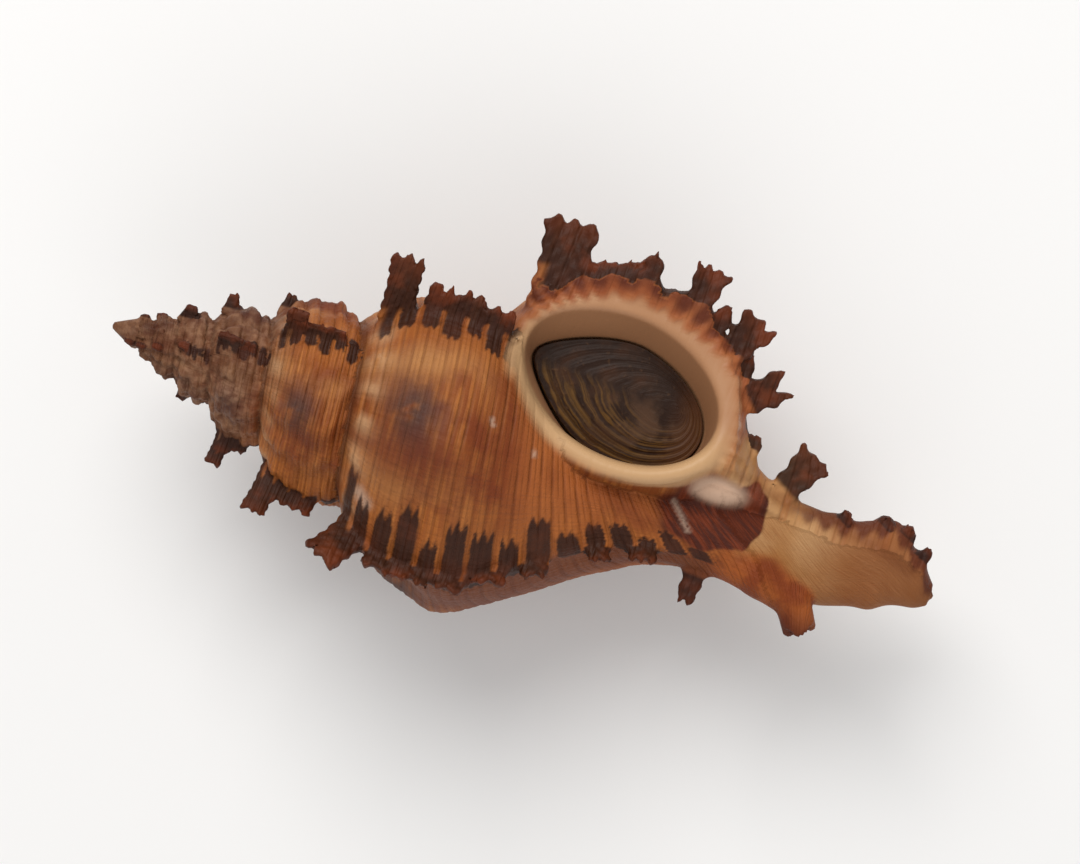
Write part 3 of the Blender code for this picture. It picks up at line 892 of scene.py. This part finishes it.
def patch_share(points):
    reach = np.full(len(points), 9.0)
    for along, across, half_length, half_width in PATCH:
        first = (points[:, 0] - along) / half_length
        second = (points[:, 1] - across) / half_width
        ragged = PATCH_RAGGED * np.sin(7.0 * np.arctan2(second, first) + along)
        reach = np.minimum(reach, np.hypot(first, second) + ragged)
    soft = 0.25 + 0.5 * fall(points[:, 0], 68.0, 6.0)
    return smooth_step((1.1 + 0.5 * soft - reach) / soft) * rise(points[:, 2], -1.0, 1.0)


def scratch_share(points):
    nearest = np.full(len(points), 9.0)
    for first, second, third, fourth, half_width in SCRATCHES:
        start = np.array([first, second])
        step = np.array([third, fourth]) - start
        share = np.clip((points[:, :2] - start) @ step / (step @ step), 0.0, 1.0)
        gap = np.linalg.norm(points[:, :2] - start - share[:, None] * step, axis=1)
        nearest = np.minimum(nearest, gap / half_width)
    return fall(nearest, 1.4, 1.3) * rise(points[:, 2], 0.5, 1.0)


def bands(values, after_varix):
    return sum(strength * bell(after_varix - at_turn, spread) for at_turn, strength, spread in values)


# Dark bars that reach back from each varix, and the dark side of the lip
def bar_share(turn, own_place, distance, on_face):
    gap = from_varix(turn)
    bar = np.floor(own_place / SCALE_PITCH)
    reach = BAR_REACH + 6.0 * np.sin(bar * 2.4) + 2.5 * np.sin(own_place * 5.3)
    older_side = smooth_step((gap + reach) / BAR_FADE) * fall(gap, 6.0, 5.0)
    on_spire = turn < LIP_ANGLE - SPIRE_ZONE
    older_side = older_side * (1.0 - 0.7 * on_spire * fall(gap, -4.0, 3.0))
    front_side = rise(gap, -1.0, 3.0) * smooth_step((0.5 * reach - gap) / 4.0)
    dark = np.maximum(older_side, front_side * fall(own_place, 68.0, 3.0))
    dark = dark * smooth_step(scale_waves(own_place) * 3.0 + 0.1 + 0.3 * np.sin(bar * 4.1))
    shoulder = rise(own_place, 38.0, 2.0)
    dark *= shoulder * fall(own_place, 92.0, 6.0) * (distance > 4.0) * ~on_face
    on_lip = turn > LIP_ANGLE - LIP_ZONE
    dark = np.maximum(dark, 0.9 * rise(gap, -8.0, 3.0) * on_lip * (turn < LIP_ANGLE) * shoulder)
    return dark * (1.0 - on_lip * rise(own_place, 64.0, 4.0))


# How far up a frond a point is, 0 away from the fronds
def frond_share(points):
    highest = np.zeros(len(points))
    for frond in FRONDS:
        near = np.all(np.abs(points - frond.base) < frond.reach, axis=1)
        if near.any():
            share = frond.places(points[near])[3]
            on_it = frond.field(points[near]) < 0.25
            share = (share - frond.dark_from) / (1.0 - frond.dark_from)
            highest[near] = np.maximum(highest[near], np.clip(share, 0.0, 1.0) * on_it)
    return highest


# Where the lip, its flutes, the aperture's wall and the callus show. The wall is darker inside the aperture,
# partly its own brown-orange tone and partly painted shade; the inner lip's side is paler, partly its own
# cream and partly painted light
def lip_marks(points, on_face):
    x, y, z = points.T
    outward, direction = aperture_places(points, MOUTH_ROW)
    low_side = inner_side(direction)
    right_side = smooth_step(np.cos(direction) * 1.6 - 0.3)
    left_side = smooth_step(-np.cos(direction) * 1.6 - 0.3)
    limit = 1.3 + 0.9 * low_side + 1.4 * right_side * (1.0 - 0.6 * low_side) - 0.8 * left_side
    teeth = np.maximum(-flute_waves(direction), -0.3)
    limit = limit + 0.5 * teeth * (1.0 - low_side)
    outer_zone = on_face * (1.0 - low_side) * fall(x, 68.0, 3.0)
    from_wall, _ = aperture_places(points)
    inside_hole = fall(from_wall, 0.6, 0.5) * rise(z - APERTURE_FLOOR, 1.0, 1.0)
    rim = smooth_step((limit - outward + 0.3) / 1.2) * smooth_step((z - face_height(y) + 2.0) / 0.8)
    parietal = np.hypot((x - 41.6) / 1.6, (y - 10.6) / 2.8)
    rim = np.maximum(rim, 0.8 * fall(parietal, 1.2, 0.6) * (z > 0.0))
    callus = ellipsoid_field(points, CALLUS_CENTRE, CALLUS_MARK_RADII)
    return {
        "lip_side": outer_zone,
        "flute": outer_zone * smooth_step((outward - limit + 0.1) / 1.5) * (0.82 - 0.3 * teeth),
        "lip": np.maximum(rim, inside_hole) * fall(x, 69.0, 3.0),
        # Partly the wall's own tone, partly painted shade deep in the aperture
        "wall": inside_hole * fall(z, 6.8, 2.0),
        # Paler on the inner lip's side: partly its own cream, partly painted light on the band that faces up
        "lip_low": low_side,
        "lip_edge": smooth_step((outward - 0.3) / (limit + 0.3)) * (1.0 - 0.7 * low_side),
        "callus": fall(callus, 0.5, 0.9),
    }


# Where the canal, its frilled rim and the old canal show
def canal_marks(points, along):
    x, y, z = points.T
    above_callus = np.hypot((x - 67.6) / 3.6, (y - 7.2) / 2.8)
    canal = np.maximum(rise(x, 68.6, 1.6), fall(above_callus, 1.3, 0.6) * (z > 0.0))
    old_canal = fall(spout_field(points), 0.8, 0.8) * fall(y, -0.4, 1.0)
    canal_edge = front_width(along) - (y - canal_across(along))
    frill = smooth_step((1.9 + 0.5 * np.sin(3.1 * along) - canal_edge) / 1.0)
    spout = old_canal * rise(x, 66.0, 3.0)
    return {
        "canal": canal * (1.0 - old_canal),
        "old_canal": spout,
        "spout_tip": fall(y, -4.6, 3.5) * spout,
        "canal_rim": frill * rise(along, 72.0, 5.0),
        "canal_end": rise(along, 74.0, 10.0),
    }


# Places on the surface that the materials read
def surface_marks(points):
    along, angle, distance = coil_places(points)
    row, column = table_places(along, angle)
    turn = TABLE_TURN[np.round(row).astype(int), np.round(column).astype(int) % TABLE_COLUMNS]
    own_place = along / growth(turn)
    gap = from_varix(turn)
    after_varix = np.where(gap < 0.0, gap + VARIX_STEP, gap)
    on_face = np.abs(turn - LIP_ANGLE) < 0.01
    on_frond = frond_share(points)
    behind = (turn > LIP_ANGLE - 2.0 * VARIX_STEP - 1.0) & (turn < LIP_ANGLE - VARIX_STEP)
    edge_lumps = 0.6 + 0.4 * suture_lumps(turn)
    return {
        "cord": own_place / cord_pitch(turn),
        "turn": turn / 10.0,
        "frond": on_frond,
        "varix": np.maximum(bar_share(turn, own_place, distance, on_face), smooth_step(on_frond * 3.5)),
        # Painted shade: a dark band laid in the suture's groove between the whorls
        "suture": bell(own_place - SUTURE_PLACE - 0.2, 0.9),
        "shoulder": bell(own_place - SUTURE_LUMP_PLACE, 1.9) * edge_lumps * (turn > SHOULDER_END),
        "orange": bands(ORANGE_BANDS, after_varix),
        "pale": bands(PALE_BANDS, after_varix) * fall(own_place, 60.0, 10.0),
        "node": lump(NODE_SPOT, after_varix, own_place),
        "rust": lump(RUST_SPOT, after_varix, own_place),
        "front": rise(own_place, 53.0, 9.0) * bell(after_varix - 60.0, 30.0),
        "columella": rise(own_place, 60.0, 6.0) * (after_varix > 0.0),
        "behind": smooth_step(after_varix / 4.0) * fall(after_varix, 55.0, 25.0) * behind,
        "worn": fall(along, WORN_END, 5.0),
        # Painted shade along the crease of the canal's slit
        "slit": slit_share(points),
        "scratch": scratch_share(points),
        "patch": patch_share(points),
        **lip_marks(points, on_face),
        **canal_marks(points, along),
    }


def to_world(points):
    return (points + AXIS_START) * MM


def put_in_scene(name, data):
    made = bpy.data.objects.new(name, data)
    bpy.context.scene.collection.objects.link(made)
    return made


def mesh_object(name, vertices, faces, marks):
    mesh = bpy.data.meshes.new(name)
    mesh.from_pydata(to_world(vertices).tolist(), [], faces.tolist())
    mesh.update()
    mesh.shade_smooth()
    for mark, values in marks.items():
        layer = mesh.attributes.new(mark, "FLOAT", "POINT")
        layer.data.foreach_set("value", np.asarray(values, dtype=np.float32))
    return put_in_scene(name, mesh)


# Builds a material from nodes
class Paint:
    def __init__(self, name):
        self.material = bpy.data.materials.new(name)
        self.material.use_nodes = True
        self.tree = self.material.node_tree
        self.shader = self.tree.nodes["Principled BSDF"]
        self.shader.inputs["Specular IOR Level"].default_value = SPECULAR
        self.coordinates = self.tree.nodes.new("ShaderNodeTexCoord").outputs["Object"]

    def put(self, socket, value):
        if isinstance(value, bpy.types.NodeSocket):
            self.tree.links.new(value, socket)
        else:
            socket.default_value = value

    def mark(self, name):
        node = self.tree.nodes.new("ShaderNodeAttribute")
        node.attribute_name = name
        return node.outputs["Fac"]

    def node(self, kind, *values):
        made = self.tree.nodes.new(kind)
        for socket, value in zip(made.inputs, values):
            self.put(socket, value)
        return made

    def math(self, operation, first, second):
        node = self.node("ShaderNodeMath", first, second)
        node.operation = operation
        return node.outputs[0]

    def times(self, first, second):
        return self.math("MULTIPLY", first, second)

    def vector(self, first, second):
        return self.node("ShaderNodeCombineXYZ", first, second).outputs[0]

    def noise(self, scale, detail, vector=None):
        node = self.node("ShaderNodeTexNoise", self.coordinates if vector is None else vector)
        node.inputs["Scale"].default_value = scale
        node.inputs["Detail"].default_value = detail
        return node.outputs["Fac"]

    def ramp(self, value, low, high):
        node = self.node("ShaderNodeMapRange", value, low, high)
        node.interpolation_type = "SMOOTHSTEP"
        return node.outputs["Result"]

    def mix(self, share, first, second):
        node = self.node("ShaderNodeMix", share)
        node.data_type = "RGBA"
        self.put(node.inputs[6], first)
        self.put(node.inputs[7], second)
        return node.outputs[2]

    # Two colours, the second where a noise is high
    def mottled(self, noise, low, high, first, second):
        return self.mix(self.ramp(noise, low, high), colour(*first), colour(*second))

    # Lays colours over a base in turn: amount or the name of a mark, its share, colour
    def lay(self, base, *rows):
        for amount, share, top in rows:
            amount = self.mark(amount) if isinstance(amount, str) else amount
            top = colour(*top) if isinstance(top, tuple) else top
            base = self.mix(self.times(amount, share), base, top)
        return base

    # A mark that shows only where a noise is high
    def broken(self, name, noise, low, high):
        return self.times(self.mark(name), self.ramp(noise, low, high))

    def bump(self, height, strength, distance):
        node = self.tree.nodes.new("ShaderNodeBump")
        node.inputs["Strength"].default_value = strength
        node.inputs["Distance"].default_value = distance
        self.put(node.inputs["Height"], height)
        return node.outputs["Normal"]


# A colour given as the eye reads it, 0 to 255, turned into light values
def colour(red, green, blue):
    def light(value):
        share = value / 255.0
        return PAINT_SHARE * (share / 12.92 if share <= 0.04045 else ((share + 0.055) / 1.055) ** 2.4)

    return (light(red), light(green), light(blue), 1.0)


# The cords' colours, and what lies over them along a whorl, with painted shade in the suture
def cord_colours(paint, fine, medium, broad, streak, groove):
    worn = paint.mottled(fine, 0.35, 0.65, (104, 68, 50), (140, 104, 80))
    return paint.lay(
        paint.mottled(streak, 0.35, 0.68, (144, 74, 29), (184, 110, 50)),
        (paint.ramp(medium, 0.4, 0.7), 1.0, (130, 60, 25)),
        (paint.ramp(broad, 0.48, 0.72), 0.45, (120, 56, 24)),
        ("front", 0.7, (124, 54, 22)),
        (paint.broken("columella", broad, 0.3, 0.6), 0.75, (190, 108, 52)),
        (paint.broken("pale", broad, 0.3, 0.6), 0.65, (204, 146, 88)),
        ("orange", 0.5, (180, 104, 44)),
        ("behind", 0.8, (110, 56, 32)),
        (groove, 0.4, (94, 40, 17)),
        ("rust", 0.7, (112, 48, 26)),
        (paint.broken("node", medium, 0.22, 0.5), 0.9, (72, 50, 46)),
        (paint.broken("shoulder", medium, 0.3, 0.6), 0.8, (204, 156, 112)),
        # Painted shade in the suture's groove
        ("suture", 0.7, (84, 44, 26)),
        ("worn", 0.8, paint.lay(worn, (paint.ramp(medium, 0.45, 0.7), 1.0, (78, 42, 28)))),
    )


def canal_colours(paint, broad, streak):
    return paint.lay(
        paint.mottled(broad, 0.35, 0.65, (178, 120, 66), (206, 158, 108)),
        (paint.ramp(streak, 0.45, 0.7), 0.5, (160, 92, 44)),
        ("canal_end", 0.75, (144, 74, 28)),
        ("canal_rim", 0.85, (92, 36, 18)),
    )


# The dark bars of the varices, and the fronds, which are lighter towards the tips
def varix_colours(paint, medium):
    tips = paint.mottled(medium, 0.42, 0.7, (46, 20, 10), (98, 42, 16))
    return paint.lay(
        paint.mottled(medium, 0.4, 0.75, (46, 20, 11), (74, 36, 21)),
        (paint.ramp(paint.mark("frond"), 0.1, 0.5), 1.0, tips),
        (paint.ramp(paint.mark("frond"), 0.5, 1.0), 0.35, (128, 54, 18)),
    )


def lip_colours(paint, broad):
    return paint.lay(
        paint.mottled(broad, 0.35, 0.7, (186, 136, 98), (198, 150, 112)),
        # The inner lip's side: partly its own cream, partly painted light
        ("lip_low", 1.0, (212, 170, 124)),
        ("lip_edge", 0.8, (176, 106, 62)),
        # The aperture's wall: partly its own tone, partly painted shade
        ("wall", 1.0, (176, 128, 92)),
    )


# Dark grooves between the cords, some faint and some clear
def cord_grooves(paint, cord, streak):
    gap = paint.math("PINGPONG", cord, 0.5)
    half_gap = paint.math("PINGPONG", paint.times(cord, 2.0), 0.5)
    groove = paint.math("SUBTRACT", 1.0, paint.ramp(gap, 0.02, 0.2))
    thread = paint.math("SUBTRACT", 1.0, paint.ramp(half_gap, 0.03, 0.25))
    groove = paint.math("MAXIMUM", groove, paint.times(thread, 0.45))
    return paint.times(groove, paint.ramp(streak, 0.3, 0.62))


def shell_material():
    paint = Paint("shell_lime")
    cord = paint.mark("cord")
    turn = paint.mark("turn")
    fine = paint.noise(*FINE_NOISE)
    medium = paint.noise(*MEDIUM_NOISE)
    broad = paint.noise(*BROAD_NOISE)
    streak = paint.noise(1.0, 3.0, paint.vector(paint.times(cord, 1.9), paint.times(turn, 0.35)))
    line = paint.noise(1.0, 3.0, paint.vector(paint.times(cord, 0.25), paint.times(turn, 5.0)))
    groove = cord_grooves(paint, cord, streak)

    old = paint.mottled(medium, 0.35, 0.65, (134, 60, 22), (168, 88, 36))
    patch = paint.mottled(streak, 0.4, 0.65, (80, 32, 17), (124, 54, 26))
    uneven = paint.math("ADD", paint.mark("patch"), paint.times(broad, 0.3))
    side = paint.mottled(medium, 0.35, 0.65, (156, 82, 44), (178, 104, 60))
    varix = paint.math("ADD", paint.mark("varix"), paint.times(medium, 0.4))
    base = paint.lay(
        cord_colours(paint, fine, medium, broad, streak, groove),
        ("old_canal", 1.0, paint.lay(old, ("spout_tip", 0.8, (90, 38, 20)))),
        ("canal", 1.0, canal_colours(paint, broad, streak)),
        (paint.ramp(uneven, 0.2, 0.95), 1.0, patch),
        # Painted shade along the crease of the canal's slit
        ("slit", 0.4, (120, 62, 32)),
        (paint.broken("scratch", fine, 0.2, 0.45), 0.6, (206, 176, 154)),
        ("lip_side", 1.0, paint.lay(side, ("flute", 1.0, (90, 36, 18)))),
        (paint.ramp(varix, 0.35, 1.05), 0.94, varix_colours(paint, medium)),
        ("lip", 1.0, lip_colours(paint, broad)),
        ("callus", 1.0, (208, 172, 146)),
    )
    paint.put(paint.shader.inputs["Base Color"], base)

    smooth = paint.math("MAXIMUM", paint.mark("lip"), paint.mark("callus"))
    rough = paint.math("SUBTRACT", SHELL_ROUGHNESS, paint.times(smooth, 0.2))
    paint.put(paint.shader.inputs["Roughness"], rough)
    relief = paint.math("ADD", paint.times(fine, 0.5), paint.times(line, 0.7))
    relief = paint.math("ADD", relief, paint.times(medium, 0.9))
    relief = paint.math("SUBTRACT", relief, paint.times(groove, 0.6))
    relief = paint.times(relief, paint.math("SUBTRACT", 1.0, paint.times(smooth, 0.9)))
    paint.put(paint.shader.inputs["Normal"], paint.bump(relief, *SHELL_RELIEF))
    return paint.material


def aperture_outline(height, inset, count):
    centre_along, centre_across, half_length, half_width = aperture_at(height)
    tilt = math.radians(APERTURE_TILT)
    angle = 2.0 * math.pi * np.arange(count) / count
    lengthwise = (half_length - inset) * np.cos(angle)
    crosswise = (half_width * leaf_share(np.cos(angle), height) - inset) * np.sin(angle)
    along = centre_along + lengthwise * math.cos(tilt) - crosswise * math.sin(tilt)
    across = centre_across + lengthwise * math.sin(tilt) + crosswise * math.cos(tilt)
    return np.stack([along, across], axis=1)


# A closed loft through rings of the same count, with a point at its top and one under it
def loft_faces(count, rings):
    faces = []
    for ring in range(rings):
        for column in range(count):
            following = (column + 1) % count
            faces.append((ring * count + column, ring * count + following, (ring + 1) * count + following))
            faces.append((ring * count + column, (ring + 1) * count + following, (ring + 1) * count + column))
    last = rings * count
    top = last + count
    for column in range(count):
        following = (column + 1) % count
        faces.append((last + column, last + following, top))
        faces.append((following, column, top + 1))
    return np.array(faces)


# Height of one ring of the plate. The share is 1 at its edge and 0 at the nucleus.
def plate_height(flat, middle, share, uneven):
    reach = np.hypot(*((flat - middle) / PLATE_REACH).T)
    wave = np.sin(2.0 * math.pi * PLATE_LINES * uneven) * 0.012
    wave = wave + np.sin(2.0 * math.pi * 7.3 * uneven) * 0.03
    wave = wave * min(1.0, (1.0 - share) * 12.0 + 0.2) * max(0.0, min(1.0, share * 3.0 - 0.8))
    return PLATE_EDGE + PLATE_DOME * (1.0 - reach ** 2) + wave + NUCLEUS_HEIGHT * (1.0 - share) ** 3


def operculum():
    outline = aperture_outline(PLATE_EDGE, PLATE_GAP, PLATE_COLUMNS)
    low_outline = aperture_outline(PLATE_BOTTOM, PLATE_GAP, PLATE_COLUMNS)
    nucleus = np.array(NUCLEUS)
    rings = [np.column_stack([low_outline, np.full(PLATE_COLUMNS, PLATE_BOTTOM)])]
    shares = [np.ones(PLATE_COLUMNS)]
    angle = 2.0 * math.pi * np.arange(PLATE_COLUMNS) / PLATE_COLUMNS
    for ring in range(PLATE_RINGS):
        share = 1.0 - ring / PLATE_RINGS
        flat = nucleus + (outline - nucleus) * share
        uneven = share + 0.008 * np.sin(3.0 * angle) + 0.006 * np.sin(7.0 * angle + 1.0)
        rings.append(np.column_stack([flat, plate_height(flat, outline.mean(axis=0), share, uneven)]))
        shares.append(uneven)
    top = [*nucleus, PLATE_EDGE + PLATE_DOME * 0.6]
    under = [*low_outline.mean(axis=0), PLATE_BOTTOM]
    vertices = np.concatenate([*rings, [top, under]])
    values = np.concatenate([*shares, [0.0, 1.0]])
    along, across = vertices[:, :2].T
    marks = {
        "growth": values,
        "dusty": bell(np.hypot(*((vertices[:, :2] - DUSTY) / DUSTY_REACH).T), 1.0),
        # Lighter towards the front end: partly the plate's own tone, partly painted light, with the back end
        # left darker as painted shade
        "front_end": rise(along, 57.5, 4.0),
        "streaky": fall(1.0 - values, STREAK_START, 0.3) * fall(across, STREAK_LINE, 2.5),
    }
    return mesh_object("horn_plate", vertices, loft_faces(PLATE_COLUMNS, PLATE_RINGS), marks)


def operculum_material():
    paint = Paint("horn_plate")
    fine = paint.noise(*PLATE_FINE_NOISE)
    medium = paint.noise(*PLATE_MEDIUM_NOISE)
    broad = paint.noise(*PLATE_BROAD_NOISE)
    shifted = paint.math("ADD", paint.times(paint.mark("growth"), 26.0), paint.times(broad, 5.0))
    lines = paint.noise(1.0, 4.0, paint.vector(shifted, paint.times(medium, 1.5)))
    base = paint.lay(
        colour(42, 20, 5),
        (paint.broken("streaky", lines, 0.42, 0.66), 1.0, (108, 74, 28)),
        (paint.ramp(medium, 0.45, 0.75), 0.7, (68, 36, 12)),
        # The front end: partly the plate's own tone, partly painted light
        ("front_end", 0.5, (98, 54, 22)),
        (paint.broken("dusty", medium, 0.35, 0.6), 0.45, (112, 82, 60)),
        (paint.ramp(fine, 0.6, 0.8), 0.3, (120, 84, 52)),
    )
    paint.put(paint.shader.inputs["Base Color"], base)
    paint.shader.inputs["Roughness"].default_value = PLATE_ROUGHNESS
    relief = paint.math("ADD", lines, paint.times(fine, 0.6))
    paint.put(paint.shader.inputs["Normal"], paint.bump(relief, *PLATE_RELIEF))
    return paint.material


def plain_material(name, value, roughness):
    paint = Paint(name)
    paint.shader.inputs["Base Color"].default_value = value
    paint.shader.inputs["Roughness"].default_value = roughness
    return paint.material


def floor():
    mesh = bpy.data.meshes.new("floor")
    half = FLOOR_SIZE / 2.0
    level = shell_low.z
    corners = [(-half, -half, level), (half, -half, level), (half, half, level), (-half, half, level)]
    mesh.from_pydata(corners, [], [(0, 1, 2, 3)])
    mesh.update()
    mesh.materials.append(plain_material("floor_paper", (*[FLOOR_GREY] * 3, 1.0), FLOOR_ROUGHNESS))
    put_in_scene("floor", mesh)


def area_light(name, position, size, power, tint):
    data = bpy.data.lights.new(name, "AREA")
    data.shape = "DISK"
    data.size = size
    data.energy = power
    data.color = tint
    made = put_in_scene(name, data)
    made.location = position
    aim = Vector(LAMP_TARGET) - Vector(position)
    made.rotation_euler = aim.to_track_quat("-Z", "Y").to_euler()


def camera():
    data = bpy.data.cameras.new("camera")
    data.lens = CAMERA_LENS
    data.sensor_width = SENSOR_WIDTH
    made = put_in_scene("camera", data)
    distance = VIEW_WIDTH * CAMERA_LENS / SENSOR_WIDTH
    made.location = to_world(np.array([*VIEW_CENTRE, distance]))
    made.rotation_euler = (0.0, 0.0, math.radians(CAMERA_TILT))
    data.clip_start = 0.01
    bpy.context.scene.camera = made


def lights():
    area_light("key", *KEY_LAMP)
    area_light("fill", *FILL_LAMP)
    world = bpy.data.worlds.new("studio")
    world.use_nodes = True
    background = world.node_tree.nodes["Background"]
    background.inputs["Color"].default_value = (1.0, 1.0, 1.0, 1.0)
    background.inputs["Strength"].default_value = WORLD_STRENGTH
    bpy.context.scene.world = world
    bpy.context.scene.view_settings.view_transform = "Standard"


def shell():
    axes = grid_axes()
    vertices, quads = surface_net(axes, grid_field(axes))
    vertices, quads = main_piece(vertices, quads)
    vertices = onto_surface(vertices)
    triangles = np.concatenate([quads[:, [0, 1, 2]], quads[:, [0, 2, 3]]])
    return mesh_object("murex", vertices, triangles, surface_marks(vertices))


murex = shell()
murex.data.materials.append(shell_material())
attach(murex, "root")
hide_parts("shell")

plate = operculum()
plate.data.materials.append(operculum_material())
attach(plate, "root")
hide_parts("operculum")

floor()
camera()
lights()
